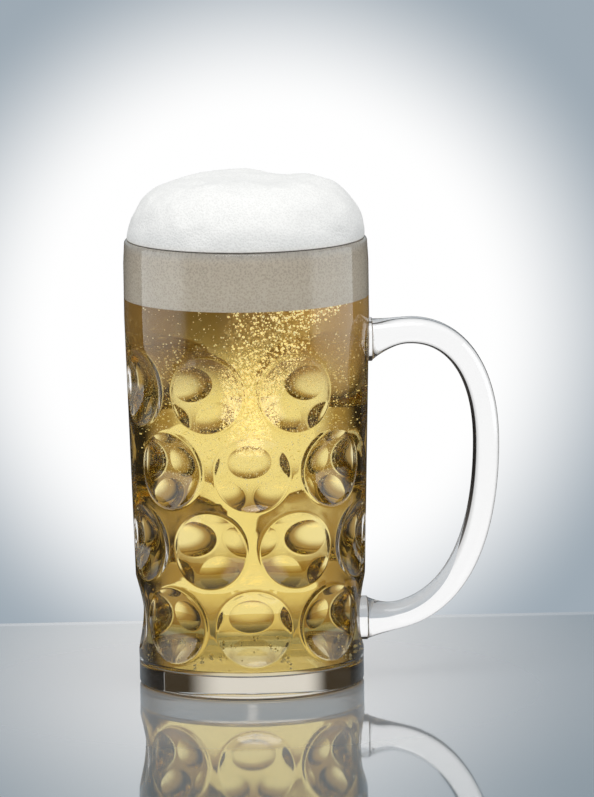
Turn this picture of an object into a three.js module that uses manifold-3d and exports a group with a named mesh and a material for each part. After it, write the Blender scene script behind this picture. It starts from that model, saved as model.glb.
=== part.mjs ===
// A one-litre dimpled beer mug of clear plastic, filled with beer under a head of foam.
// A blown shell, a thick moulded base and a moulded handle are welded together into the mug.
// Millimetres, +Z up. The origin is the middle of the base's underside, and the handle is at +X.

import * as THREE from 'three';
import { mergeVertices } from 'three/addons/utils/BufferGeometryUtils.js';
import Module from 'manifold-3d';

// Fits: the clearance that every welded joint and every filled space keeps
const GAP = 0.3;

// Shell: a straight draft from the foot up to a plain belly, drawn in a little at a round lip
const MUG_HEIGHT = 200;
const FOOT_RADIUS = 50.4;
const BELLY_RADIUS = 54.7;
const BELLY_DROP = 35;
const LIP_DROP = 10;
const LIP_DRAW = 0.5;
const LIP_TURN = 82;
const WALL = 3;

// Base: a thick disc that the shell stands on, with a low spigot inside the shell
const BASE_THICKNESS = 10;
const BASE_EDGE = 1.4;
const SPIGOT_HEIGHT = 2;

// Dimples: staggered rows of round bowls that push the wall inwards
const DIMPLE_RADIUS = 17;
const DIMPLE_DEPTH = 6.5;
const DIMPLES_AROUND = 8;
const ROW_PITCH = 35;
const FIRST_ROW = 21;
const PLAIN_BAND = 44;
const UNBROKEN_ROW = 2;

// Handle: an oval bar that leaves the upper joint, drops along the grip and returns to the foot.
// Its two curves leave each joint along an arm and meet upright at the grip's outermost point.
const UPPER_JOINT_DROP = 46.7;
const LOWER_JOINT_RISE = 26.8;
const GRIP_STANDOFF = 51.8;
const GRIP_DROP = 46;
const UPPER_ARM_OUT = 28;
const UPPER_ARM_UP = 12.2;
const UPPER_GRIP_PULL = 41;
const LOWER_ARM_OUT = 50;
const LOWER_ARM_DOWN = 2.6;
const LOWER_GRIP_PULL = 22.8;
const BAR_THICKNESS = 11.6;
const BAR_WIDTH = 17;
const FLARE_LENGTH = 15;
const FLARE_THICKNESS = 6.4;
const FLARE_WIDTH = 2.4;

// Joints of the handle: a flat pad on the shell with a blind socket, and a tenon on the bar
const PAD_PROUD = 1.6;
const PAD_MARGIN = 0.8;
const PAD_CLEAR = 4;
const TENON_LENGTH = 3;
const TENON_HEIGHT = 10;
const TENON_WIDTH = 9;

// Drink: the foam's depth under the rim and its rise over it, with a brow and a top flatter than
// a circle's, an inset from the lip's outside and a lean towards the handle
const FOAM_DEPTH = 26;
const FOAM_RISE = 27.5;
const FOAM_INSET = 1.2;
const FOAM_LEAN = 1.5;
const FOAM_BROW = 3;
const FOAM_TOP = 2.5;

// Fineness of the round shapes: the dimples' outside is finer than the bulges that it makes inside
const ROUND_STEPS = 40;
const ARC_STEPS = 3;
const DIMPLE_FACETS = { sides: 12, rings: 3 };
const BULGE_FACETS = { sides: 8, rings: 2 };
const OVAL_STEPS = 7;
const BAR_STEPS = 36;
const FOAM_STEPS = 8;

// Places that follow from the driving dimensions
const shellFoot = BASE_THICKNESS + GAP;
const floorHeight = BASE_THICKNESS + SPIGOT_HEIGHT;
const lipRadius = WALL / 2;
const lipOutside = BELLY_RADIUS - LIP_DRAW;
const beerLevel = MUG_HEIGHT - FOAM_DEPTH;

// The outside of the plain wall: the heights where its slope changes, and its radius there
const wallBends = [
  [shellFoot, FOOT_RADIUS],
  [MUG_HEIGHT - BELLY_DROP, BELLY_RADIUS],
  [MUG_HEIGHT - LIP_DROP, BELLY_RADIUS],
  [MUG_HEIGHT - lipRadius, lipOutside],
];

const wasm = await Module();
wasm.setup();

// A closed geometry as a solid, without the folded triangles that a lathe leaves on its axis
function solid(geometry) {
  const bare = geometry.clone();
  bare.deleteAttribute('normal');
  bare.deleteAttribute('uv');
  const merged = mergeVertices(bare, 1e-4);
  const corners = merged.index.array;
  const kept = [];
  for (let i = 0; i < corners.length; i += 3) {
    const [a, b, c] = corners.slice(i, i + 3);
    if (a !== b && b !== c && c !== a) kept.push(a, b, c);
  }
  return new wasm.Manifold(
    new wasm.Mesh({
      numProp: 3,
      vertProperties: merged.attributes.position.array,
      triVerts: new Uint32Array(kept),
    }),
  );
}

// A finished solid as a named mesh
function mesh(name, made, material) {
  const { vertProperties, triVerts } = made.getMesh();
  const geometry = new THREE.BufferGeometry();
  geometry.setAttribute('position', new THREE.BufferAttribute(vertProperties, 3));
  geometry.setIndex(new THREE.BufferAttribute(triVerts, 1));
  geometry.computeVertexNormals();
  const piece = new THREE.Mesh(geometry, material);
  piece.name = name;
  return piece;
}

// A shape turned about Z from [radius, height] points that start and end on the axis
function turned(points) {
  const profile = points.map(([r, z]) => new THREE.Vector2(r, z));
  return new THREE.LatheGeometry(profile, ROUND_STEPS).rotateX(Math.PI / 2);
}

// Points of an arc in the profile plane, from one angle to another in degrees
function arc(r, z, radius, from, to) {
  return Array.from({ length: ARC_STEPS + 1 }, (_, i) => {
    const angle = THREE.MathUtils.degToRad(from + ((to - from) * i) / ARC_STEPS);
    return [r + radius * Math.cos(angle), z + radius * Math.sin(angle)];
  });
}

// A prism of oval section along X, at a height on the handle's side
function ovalAlongX(width, height, from, to, z) {
  const oval = new THREE.Shape();
  oval.absellipse(0, 0, width / 2, height / 2, 0, 2 * Math.PI);
  const prism = new THREE.ExtrudeGeometry(oval, {
    depth: to - from,
    bevelEnabled: false,
    curveSegments: OVAL_STEPS,
  });
  const axes = new THREE.Matrix4().makeBasis(
    new THREE.Vector3(0, 1, 0),
    new THREE.Vector3(0, 0, 1),
    new THREE.Vector3(1, 0, 0),
  );
  return solid(prism.applyMatrix4(axes).translate(from, 0, z));
}

// The outside of the plain wall at a height up to the lip
function outerRadius(z) {
  const upper = Math.max(1, wallBends.findIndex(([height]) => height >= z));
  const [z0, r0] = wallBends[upper - 1];
  const [z1, r1] = wallBends[upper];
  return THREE.MathUtils.mapLinear(z, z0, z1, r0, r1);
}

// The heights at which a wall that starts at a bottom has its profile's points
function wallHeights(bottom) {
  return [bottom, ...wallBends.map(([z]) => z).filter((z) => z > bottom)];
}

// The joints of the handle: each pad's height on the wall and the place of its flat face
const joints = {
  upper: jointAt(MUG_HEIGHT - UPPER_JOINT_DROP),
  lower: jointAt(LOWER_JOINT_RISE),
};

function jointAt(height) {
  return { height, face: outerRadius(height) + PAD_PROUD };
}

// The pad's outline is the bar's flared end with a margin all round
const padHeight = BAR_THICKNESS + FLARE_THICKNESS + 2 * PAD_MARGIN;
const padWidth = BAR_WIDTH + FLARE_WIDTH + 2 * PAD_MARGIN;

// The places of the dimples. The parting line through the handle leaves one row unbroken there,
// and a dimple whose edge would come near the upper joint's pad is left out.
function dimplePlaces() {
  const nearest = DIMPLE_RADIUS + padHeight / 2 + PAD_CLEAR;
  const lowest = BASE_THICKNESS + FIRST_ROW;
  const highest = MUG_HEIGHT - PLAIN_BAND - DIMPLE_RADIUS;
  const rows = Math.floor((highest - lowest) / ROW_PITCH) + 1;
  const step = (2 * Math.PI) / DIMPLES_AROUND;
  const places = [];
  for (let row = 0; row < rows; row += 1) {
    for (let place = 0; place < DIMPLES_AROUND; place += 1) {
      const azimuth = (place + (row % 2) / 2) * step;
      const height = lowest + row * ROW_PITCH;
      const fromHandle = Math.acos(Math.sin(azimuth));
      const along = fromHandle * outerRadius(height);
      const apart = Math.hypot(along, joints.upper.height - height);
      const onPartingLine = Math.abs(Math.cos(azimuth)) < 1e-6;
      const unbroken = row === UNBROKEN_ROW && onPartingLine;
      if (!unbroken && apart > nearest) places.push({ azimuth, height });
    }
  }
  return places;
}

// A bowl at a dimple's place: part of an ellipsoid that meets the round wall in a circle, and
// that grows by a wall or a gap all round. Azimuth 0 faces -Y and 90 degrees faces the handle.
function bowl({ azimuth, height }, grow, { sides, rings }) {
  const wall = outerRadius(height);
  const radial = (DIMPLE_RADIUS ** 2 + DIMPLE_DEPTH ** 2) / (2 * DIMPLE_DEPTH);
  const centre = radial - DIMPLE_DEPTH;
  const fall = wall - Math.sqrt(wall ** 2 - DIMPLE_RADIUS ** 2);
  const across = DIMPLE_RADIUS / Math.sqrt(1 - ((centre + fall) / radial) ** 2);
  const widest = Math.acos((centre - WALL) / radial);
  const profile = Array.from({ length: rings + 1 }, (_, i) => {
    const angle = (widest * i) / rings;
    return new THREE.Vector2(Math.sin(angle), -Math.cos(angle));
  });
  profile.push(new THREE.Vector2(0, -Math.cos(widest)));
  const out = new THREE.Vector3(Math.sin(azimuth), -Math.cos(azimuth), 0);
  const along = new THREE.Vector3(Math.cos(azimuth), Math.sin(azimuth), 0);
  const down = new THREE.Vector3(0, 0, -1);
  const place = new THREE.Matrix4().makeBasis(along, out, down);
  place.scale(new THREE.Vector3(across + grow, radial + grow, radial + grow));
  place.setPosition(out.clone().multiplyScalar(wall + centre).setZ(height));
  return solid(new THREE.LatheGeometry(profile, sides).applyMatrix4(place));
}

// The shell's outside, with every dimple cut into it
function withDimples(body) {
  return dimplePlaces().reduce((left, place) => left.subtract(bowl(place, 0, DIMPLE_FACETS)), body);
}

// What fills the shell loses the bulges that the dimples make inside it, with a gap to them
function withoutBulges(body, gap) {
  const grow = WALL + gap;
  return dimplePlaces().reduce((left, place) => left.subtract(bowl(place, grow, BULGE_FACETS)), body);
}

// The side of what fills the shell, kept off its wall by the gap, from a bottom to a top height
function fillSide(bottom, top) {
  const heights = [...wallHeights(bottom).filter((z) => z < top), top];
  return heights.map((z) => [outerRadius(z) - WALL - GAP, z]);
}

// Shell: the dimpled wall, blown in one piece, with a pad and a socket for each end of the handle
function shell() {
  const lipCentre = lipOutside - lipRadius;
  const lipFoot = MUG_HEIGHT - lipRadius;
  const side = wallHeights(shellFoot).map((z) => [outerRadius(z), z]);
  const lip = arc(lipCentre, lipFoot, lipRadius, 0, LIP_TURN).slice(1);
  const outside = turned([[0, shellFoot], ...side, ...lip, [0, lip.at(-1)[1]]]);
  const below = shellFoot - WALL;
  const above = MUG_HEIGHT + WALL;
  const bore = wallHeights(below).map((z) => [outerRadius(z) - WALL, z]);
  const mouth = arc(lipCentre, lipFoot, lipRadius, 180, 180 - LIP_TURN).slice(1);
  const inside = turned([[0, below], ...bore, ...mouth, [mouth.at(-1)[0], above], [0, above]]);
  let body = withDimples(solid(outside));
  for (const { height, face } of Object.values(joints)) {
    body = body.add(ovalAlongX(padWidth, padHeight, face / 2, face, height));
  }
  body = body.subtract(withoutBulges(solid(inside), 0));
  for (const { height, face } of Object.values(joints)) {
    const bottom = face - TENON_LENGTH - GAP;
    const wide = TENON_WIDTH + 2 * GAP;
    const tall = TENON_HEIGHT + 2 * GAP;
    body = body.subtract(ovalAlongX(wide, tall, bottom, face + WALL, height));
  }
  return body;
}

// Base: the disc's outer edge lines up with the shell, and its spigot closes the shell's bore
function base() {
  const bore = outerRadius(shellFoot) - WALL - GAP;
  const edge = arc(FOOT_RADIUS - BASE_EDGE, BASE_EDGE, BASE_EDGE, -90, 0);
  const rim = [[FOOT_RADIUS, BASE_THICKNESS], [bore, BASE_THICKNESS], [bore, floorHeight]];
  return solid(turned([[0, 0], ...edge, ...rim, [0, floorHeight]]));
}

// Handle: the bar's centre line in the XZ plane, run straight into both pads
function handlePath() {
  const grip = new THREE.Vector3(
    BELLY_RADIUS + GRIP_STANDOFF,
    0,
    joints.upper.height - GRIP_DROP,
  );
  const start = new THREE.Vector3(joints.upper.face, 0, joints.upper.height);
  const end = new THREE.Vector3(joints.lower.face, 0, joints.lower.height);
  const upperArm = new THREE.Vector3(UPPER_ARM_OUT, 0, UPPER_ARM_UP);
  const lowerArm = new THREE.Vector3(LOWER_ARM_OUT, 0, -LOWER_ARM_DOWN);
  const upperPull = start.clone().add(upperArm);
  const lowerPull = end.clone().add(lowerArm);
  const overGrip = grip.clone().setZ(grip.z + UPPER_GRIP_PULL);
  const underGrip = grip.clone().setZ(grip.z - LOWER_GRIP_PULL);
  const startInside = start.clone().addScaledVector(upperArm.normalize(), -BAR_THICKNESS);
  const endInside = end.clone().addScaledVector(lowerArm.normalize(), -BAR_THICKNESS);
  const path = new THREE.CurvePath();
  path.add(new THREE.LineCurve3(startInside, start));
  path.add(new THREE.CubicBezierCurve3(start, upperPull, overGrip, grip));
  path.add(new THREE.CubicBezierCurve3(grip, underGrip, lowerPull, end));
  path.add(new THREE.LineCurve3(end, endInside));
  return path;
}

// The bar swells towards both pads, where this share of the flare is reached
function flareAt(fromPad) {
  const rest = Math.max(0, 1 - Math.max(0, fromPad) / FLARE_LENGTH);
  return rest ** 2;
}

// The bar: an oval swept along the centre line, with its thickness in the handle's plane
function bar() {
  const path = handlePath();
  const length = path.getLength();
  const oval = new THREE.Shape();
  oval.absellipse(0, 0, BAR_THICKNESS / 2, BAR_WIDTH / 2, 0, 2 * Math.PI);
  const straight = new THREE.ExtrudeGeometry(oval, {
    depth: 1,
    steps: BAR_STEPS,
    bevelEnabled: false,
    curveSegments: OVAL_STEPS,
  });
  const corners = straight.attributes.position;
  const corner = new THREE.Vector3();
  for (let i = 0; i < corners.count; i += 1) {
    corner.fromBufferAttribute(corners, i);
    const share = THREE.MathUtils.clamp(corner.z, 0, 1);
    const fromEnd = Math.min(share, 1 - share) * length;
    const flare = flareAt(fromEnd - BAR_THICKNESS);
    const thick = corner.x * (1 + (flare * FLARE_THICKNESS) / BAR_THICKNESS);
    const wide = corner.y * (1 + (flare * FLARE_WIDTH) / BAR_WIDTH);
    const along = path.getTangentAt(share);
    const place = path.getPointAt(share);
    corners.setXYZ(i, place.x + along.z * thick, wide, place.z - along.x * thick);
  }
  return solid(straight);
}

// The handle: the bar cut flat at each pad, with a tenon into the pad's socket
function handle() {
  let body = bar();
  const middle = (joints.upper.height + joints.lower.height) / 2;
  const tall = MUG_HEIGHT;
  for (const [joint, side] of [[joints.upper, 1], [joints.lower, -1]]) {
    const seat = joint.face + GAP;
    const trim = new THREE.BoxGeometry(seat, 2 * BAR_WIDTH, tall);
    trim.translate(seat / 2, 0, middle + (side * tall) / 2);
    body = body.subtract(solid(trim));
    const tip = joint.face - TENON_LENGTH;
    body = body.add(ovalAlongX(TENON_WIDTH, TENON_HEIGHT, tip, seat + GAP, joint.height));
  }
  return body;
}

// Beer: fills the shell from the floor up to its level
function beer() {
  const bottom = floorHeight + GAP;
  const column = turned([[0, bottom], ...fillSide(bottom, beerLevel), [0, beerLevel]]);
  return withoutBulges(solid(column), GAP);
}

// Foam: fills the shell over the beer and swells over the lip into a flat-topped dome that leans
function foam() {
  const bottom = beerLevel + GAP;
  const seat = MUG_HEIGHT + GAP;
  const brim = lipOutside - FOAM_INSET;
  const side = fillSide(bottom, MUG_HEIGHT - lipRadius);
  const dome = [];
  for (let i = 0; i < FOAM_STEPS; i += 1) {
    const angle = (Math.PI / 2) * (i / FOAM_STEPS);
    const radius = brim * Math.cos(angle) ** (2 / FOAM_BROW);
    dome.push([radius, seat + FOAM_RISE * Math.sin(angle) ** (2 / FOAM_TOP)]);
  }
  const neck = [side.at(-1)[0], seat];
  const head = turned([[0, bottom], ...side, neck, ...dome, [0, seat + FOAM_RISE]]);
  const corners = head.attributes.position;
  for (let i = 0; i < corners.count; i += 1) {
    const rise = Math.max(0, corners.getZ(i) - seat) / FOAM_RISE;
    corners.setZ(i, corners.getZ(i) + (FOAM_LEAN * rise * corners.getX(i)) / brim);
  }
  return withoutBulges(solid(head), GAP);
}

const clear = { color: 0xe9eeee, roughness: 0.06, metalness: 0, transparent: true };
const materials = {
  shell: new THREE.MeshStandardMaterial({ ...clear, opacity: 0.35 }),
  base: new THREE.MeshStandardMaterial({ ...clear, opacity: 0.45 }),
  handle: new THREE.MeshStandardMaterial({ ...clear, opacity: 0.4 }),
  beer: new THREE.MeshStandardMaterial({
    color: 0xd9a520,
    roughness: 0.03,
    metalness: 0,
    transparent: true,
    opacity: 0.8,
  }),
  foam: new THREE.MeshStandardMaterial({ color: 0xf6f3e8, roughness: 0.9, metalness: 0 }),
};

const mug = new THREE.Group();
mug.add(
  mesh('dimpled_shell', shell(), materials.shell),
  mesh('base_disc', base(), materials.base),
  mesh('handle', handle(), materials.handle),
  mesh('beer', beer(), materials.beer),
  mesh('foam_head', foam(), materials.foam),
);

export default mug;
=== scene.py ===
import math

import bmesh
import bpy
import numpy as np
from mathutils import Matrix, Vector, noise
from mathutils.geometry import delaunay_2d_cdt


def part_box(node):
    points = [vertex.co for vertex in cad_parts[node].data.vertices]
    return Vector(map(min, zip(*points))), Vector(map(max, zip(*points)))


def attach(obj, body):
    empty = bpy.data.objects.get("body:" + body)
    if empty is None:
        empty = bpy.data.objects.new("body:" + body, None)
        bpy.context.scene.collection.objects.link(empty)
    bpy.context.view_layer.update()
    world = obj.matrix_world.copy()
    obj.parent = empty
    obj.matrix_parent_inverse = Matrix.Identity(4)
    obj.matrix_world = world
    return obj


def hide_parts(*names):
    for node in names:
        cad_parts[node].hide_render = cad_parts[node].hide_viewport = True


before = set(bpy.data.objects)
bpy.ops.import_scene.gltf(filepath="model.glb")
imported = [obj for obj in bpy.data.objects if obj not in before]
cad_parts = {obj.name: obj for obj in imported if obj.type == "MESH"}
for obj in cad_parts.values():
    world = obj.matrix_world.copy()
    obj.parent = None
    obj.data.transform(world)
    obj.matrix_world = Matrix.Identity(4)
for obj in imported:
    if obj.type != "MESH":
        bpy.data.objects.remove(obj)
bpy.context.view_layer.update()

# Camera: a long lens, far enough off to keep the mug's sides upright. It looks down a little, from
# slightly left of the front, and is turned a little about its own axis.
CAMERA_DISTANCE = 3.4
CAMERA_AZIMUTH = math.radians(-2.0)
CAMERA_ELEVATION = math.radians(8.9)
CAMERA_ROLL = math.radians(0.8)
CAMERA_TARGET = Vector((0.0220, 0.0, 0.1270))
VIEW_HEIGHT = 0.3567
SENSOR_WIDTH = 36.0

scene = bpy.context.scene
scene.view_settings.view_transform = "Standard"
scene.cycles.max_bounces = 48
scene.cycles.transmission_bounces = 48
scene.cycles.glossy_bounces = 24
scene.cycles.transparent_max_bounces = 24

camera_data = bpy.data.cameras.new("camera")
camera_data.sensor_width = SENSOR_WIDTH
camera_data.lens = SENSOR_WIDTH * CAMERA_DISTANCE / VIEW_HEIGHT
camera = bpy.data.objects.new("camera", camera_data)
scene.collection.objects.link(camera)
camera_back = Vector((
    math.sin(CAMERA_AZIMUTH) * math.cos(CAMERA_ELEVATION),
    -math.cos(CAMERA_AZIMUTH) * math.cos(CAMERA_ELEVATION),
    math.sin(CAMERA_ELEVATION),
))
camera.rotation_mode = "QUATERNION"
camera.location = CAMERA_TARGET + camera_back * CAMERA_DISTANCE
camera_turn = (-camera_back).to_track_quat("-Z", "Y").to_matrix()
camera.rotation_quaternion = (camera_turn @ Matrix.Rotation(-CAMERA_ROLL, 3, "Z")).to_quaternion()
scene.camera = camera


# Studio room: the camera sees a white wall that falls off to grey-blue, and the table mirrors it.
# The plastic sees a dark room with a pale ceiling and a dim panel in front, and matt surfaces get
# a soft fill. The NORTH and HEIGHT ranges are parts of a direction of length 1.
GLOW_WHITE = (1.0, 1.0, 1.0)
GLOW_EDGE = (0.342, 0.402, 0.456)
GLOW_ACROSS = -0.012
GLOW_UP = 0.031
GLOW_FALL = (0.096, 0.180)
MIRROR_ACROSS = -0.024
MIRROR_UP = -0.108
MIRROR_FALL = (0.02, 0.17)
MIRROR_NORTH = (0.5, 0.9)
MIRROR_HEIGHT = (0.02, 0.06)
ROOM_DARK = (0.016, 0.014, 0.012)
FLOOR_FRONT = (0.22, 0.20, 0.18)
FLOOR_BACK = (0.10, 0.09, 0.08)
FLOOR_NORTH = (-0.25, 0.25)
FLOOR_HEIGHT = (-0.32, -0.20)
CEILING = (0.55, 0.55, 0.56)
CEILING_HEIGHT = (0.5, 0.8)
PANEL_WHITE = (0.88, 0.94, 0.98)
FRONT_STRENGTH = 0.15
FRONT_SIDES = (0.45, 0.6)
FRONT_LOW = (-0.7, -0.3)
FRONT_HIGH = (0.6, 1.0)
LEAST_DEPTH = 0.001
FILL_FRONT = (0.86, 0.86, 0.86)
FILL_BACK = (0.56, 0.57, 0.58)
FILL_NORTH = (-0.8, 0.3)


def add_node(tree, kind, **settings):
    """A node, with its plain settings."""
    made = tree.nodes.new(kind)
    for name, value in settings.items():
        setattr(made, name, value)
    return made


def math_node(tree, operation, first, second=None):
    """The output of a Math node on one or two values or sockets."""
    made = add_node(tree, "ShaderNodeMath", operation=operation)
    for socket, value in zip(made.inputs, (first, second)):
        if isinstance(value, bpy.types.NodeSocket):
            tree.links.new(value, socket)
        elif value is not None:
            socket.default_value = value
    return made.outputs[0]


def ramp_node(tree, value, start, end, low, high):
    """A value carried smoothly from one range to another."""
    made = add_node(tree, "ShaderNodeMapRange", interpolation_type="SMOOTHSTEP")
    tree.links.new(value, made.inputs["Value"])
    for name, limit in zip(("From Min", "From Max", "To Min", "To Max"), (start, end, low, high)):
        made.inputs[name].default_value = limit
    return made.outputs["Result"]


def mix_colours(tree, factor, first, second):
    """A colour between two colours or colour sockets."""
    made = add_node(tree, "ShaderNodeMix", data_type="RGBA")
    tree.links.new(factor, made.inputs[0])
    for socket, value in zip((made.inputs[6], made.inputs[7]), (first, second)):
        if isinstance(value, bpy.types.NodeSocket):
            tree.links.new(value, socket)
        else:
            socket.default_value = (*value, 1.0)
    return made.outputs[2]


def split_xyz(tree, vector):
    """The X, Y and Z of a vector socket."""
    made = add_node(tree, "ShaderNodeSeparateXYZ")
    tree.links.new(vector, made.inputs[0])
    return made.outputs


def distance_to(tree, where, place):
    """How far a place or direction is from a fixed one."""
    made = add_node(tree, "ShaderNodeVectorMath", operation="DISTANCE")
    tree.links.new(where, made.inputs[0])
    made.inputs[1].default_value = place
    return made.outputs["Value"]


def glow_round(tree, direction, across, up, fall):
    """The bright wall in one direction: white round a place in the view and grey-blue beyond."""
    place = CAMERA_TARGET + camera_turn.col[0] * across + camera_turn.col[1] * up
    off_glow = distance_to(tree, direction, (place - camera.location).normalized())
    start, end = fall
    shade = ramp_node(tree, off_glow, start / CAMERA_DISTANCE, end / CAMERA_DISTANCE, 0, 1)
    return mix_colours(tree, shade, GLOW_WHITE, GLOW_EDGE)


world = bpy.data.worlds.new("studio")
scene.world = world
world.use_nodes = True
tree = world.node_tree
tree.nodes.clear()
direction = add_node(tree, "ShaderNodeTexCoord").outputs["Generated"]
rays = add_node(tree, "ShaderNodeLightPath").outputs
east, north, height = split_xyz(tree, direction)
seen = glow_round(tree, direction, GLOW_ACROSS, GLOW_UP, GLOW_FALL)
flipped = add_node(tree, "ShaderNodeVectorMath", operation="MULTIPLY")
tree.links.new(direction, flipped.inputs[0])
flipped.inputs[1].default_value = (1, 1, -1)
in_table = glow_round(tree, flipped.outputs[0], MIRROR_ACROSS, MIRROR_UP, MIRROR_FALL)

floor_colour = mix_colours(tree, ramp_node(tree, north, *FLOOR_NORTH, 0, 1), FLOOR_FRONT, FLOOR_BACK)
room = mix_colours(tree, ramp_node(tree, height, *FLOOR_HEIGHT, 1, 0), ROOM_DARK, floor_colour)
to_front = math_node(tree, "MAXIMUM", math_node(tree, "MULTIPLY", north, -1.0), LEAST_DEPTH)
sideways = math_node(tree, "ABSOLUTE", math_node(tree, "DIVIDE", east, to_front))
upwards = math_node(tree, "DIVIDE", height, to_front)
front_panel = ramp_node(tree, sideways, *FRONT_SIDES, FRONT_STRENGTH, 0)
front_panel = math_node(tree, "MULTIPLY", front_panel, ramp_node(tree, upwards, *FRONT_LOW, 0, 1))
front_panel = math_node(tree, "MULTIPLY", front_panel, ramp_node(tree, upwards, *FRONT_HIGH, 1, 0))
through = mix_colours(tree, front_panel, room, PANEL_WHITE)

mirrored = mix_colours(tree, ramp_node(tree, height, *CEILING_HEIGHT, 0, 1), room, CEILING)
up_and_back = math_node(
    tree, "MULTIPLY",
    ramp_node(tree, north, *MIRROR_NORTH, 0, 1), ramp_node(tree, height, *MIRROR_HEIGHT, 0, 1),
)
mirrored = mix_colours(tree, up_and_back, mirrored, in_table)
sharp = mix_colours(tree, rays["Is Transmission Ray"], mirrored, through)
fill = mix_colours(tree, ramp_node(tree, north, *FILL_NORTH, 0, 1), FILL_FRONT, FILL_BACK)
lit = mix_colours(tree, math_node(tree, "MINIMUM", rays["Diffuse Depth"], 1.0), sharp, fill)
backdrop = add_node(tree, "ShaderNodeBackground")
tree.links.new(mix_colours(tree, rays["Is Camera Ray"], lit, seen), backdrop.inputs["Color"])
tree.links.new(backdrop.outputs[0], add_node(tree, "ShaderNodeOutputWorld").inputs["Surface"])


# Light screen: a glowing sheet behind the mug, out of the camera's sight, that is seen only through
# the plastic. Through the beer it has a small white middle, and through clear plastic a wide one.
SCREEN_DISTANCE = 0.5
SCREEN_SIZE = 0.43
SCREEN_MIDDLE = 0.075
SCREEN_EDGE = (SCREEN_SIZE - 0.05, SCREEN_SIZE - 0.02)
SCREEN_WHITE = (1.0, 1.0, 1.0)
SCREEN_END = 0.38
BEER_HALO = (0.085, 0.20)
BEER_GREY = (0.40, 0.29, 0.15)
BEER_DARK = (0.020, 0.016, 0.012)
CLEAR_HALO = (0.20, 0.34)
CLEAR_GREY = (0.70, 0.70, 0.70)
CLEAR_DARK = (0.02, 0.02, 0.02)
CLEAR_ACROSS = 0.06
CLEAR_SURFACES = 3.5


def stage_panel(name, corners, place):
    """A panel of the studio that the camera doesn't see and that casts no shadow, and its tree."""
    data = bpy.data.meshes.new(name)
    data.from_pydata(corners, [], [(0, 1, 2, 3)])
    made = bpy.data.objects.new(name, data)
    made.location = place
    made.visible_camera = False
    made.visible_diffuse = False
    made.visible_shadow = False
    scene.collection.objects.link(made)
    finish = bpy.data.materials.new(name)
    finish.use_nodes = True
    finish.node_tree.nodes.clear()
    data.materials.append(finish)
    return made, finish.node_tree


def object_place(tree):
    """Where a point lies on its own object."""
    return add_node(tree, "ShaderNodeTexCoord").outputs["Object"]


def only_clear(tree):
    """1 for a ray that has crossed too few surfaces to have come through the beer, otherwise 0."""
    crossed = add_node(tree, "ShaderNodeLightPath").outputs["Transmission Depth"]
    return math_node(tree, "LESS_THAN", crossed, CLEAR_SURFACES)


def halo(tree, from_middle, fall, grey, dark):
    """The screen's colour: white in the middle, grey round it and dark at the edge."""
    white_end, grey_start = fall
    outside = mix_colours(tree, ramp_node(tree, from_middle, grey_start, SCREEN_END, 0, 1), grey, dark)
    off_white = ramp_node(tree, from_middle, white_end, grey_start, 0, 1)
    return mix_colours(tree, off_white, SCREEN_WHITE, outside)


def shining(tree, colour):
    """A shader that gives off a colour."""
    made = add_node(tree, "ShaderNodeEmission")
    tree.links.new(colour, made.inputs["Color"])
    return made


def mix_shaders(tree, factor, first, second):
    """A surface between two shaders."""
    made = add_node(tree, "ShaderNodeMixShader")
    tree.links.new(factor, made.inputs[0])
    tree.links.new(first.outputs[0], made.inputs[1])
    tree.links.new(second.outputs[0], made.inputs[2])
    return made


def show(tree, shader):
    """Puts a shader on the surface."""
    tree.links.new(shader.outputs[0], add_node(tree, "ShaderNodeOutputMaterial").inputs["Surface"])


screen, tree = stage_panel("light_screen", [
    (x * SCREEN_SIZE, 0, z * SCREEN_SIZE) for x, z in ((-1, -1), (1, -1), (1, 1), (-1, 1))
], (0, SCREEN_DISTANCE, 0))
screen.visible_glossy = False
where = object_place(tree)
from_middle = distance_to(tree, where, (0, 0, SCREEN_MIDDLE))
from_handle = distance_to(tree, where, (CLEAR_ACROSS, 0, SCREEN_MIDDLE))
through_beer = halo(tree, from_middle, BEER_HALO, BEER_GREY, BEER_DARK)
through_clear = halo(tree, from_handle, CLEAR_HALO, CLEAR_GREY, CLEAR_DARK)
glow = shining(tree, mix_colours(tree, only_clear(tree), through_beer, through_clear))
past_edge = ramp_node(tree, from_middle, *SCREEN_EDGE, 0, 1)
show(tree, mix_shaders(tree, past_edge, glow, add_node(tree, "ShaderNodeBsdfTransparent")))


# Base card: a small card close behind the mug's foot, pale in the middle and dark at its ends, that
# is seen only through clear plastic. For rays through the beer it is just a warm tint.
CARD_PLACE = (0, 0.10, 0)
CARD_LEFT = -0.050
CARD_RIGHT = 0.036
CARD_LOW = 0.006
CARD_HIGH = 0.030
CARD_FALL = (0.007, 0.0185)
CARD_PALE = (0.81, 0.77, 0.70)
CARD_DARK = (0.05, 0.036, 0.02)
CARD_TINT = (0.82, 0.74, 0.54)

card, tree = stage_panel("base_card", [
    (CARD_LEFT, 0, CARD_LOW), (CARD_RIGHT, 0, CARD_LOW),
    (CARD_RIGHT, 0, CARD_HIGH), (CARD_LEFT, 0, CARD_HIGH),
], CARD_PLACE)
card.visible_glossy = False
off_axis = math_node(tree, "ABSOLUTE", split_xyz(tree, object_place(tree))["X"])
glow = shining(tree, mix_colours(tree, ramp_node(tree, off_axis, *CARD_FALL, 0, 1), CARD_PALE, CARD_DARK))
tinted = add_node(tree, "ShaderNodeBsdfTransparent")
tinted.inputs["Color"].default_value = (*CARD_TINT, 1.0)
show(tree, mix_shaders(tree, only_clear(tree), tinted, glow))


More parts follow.
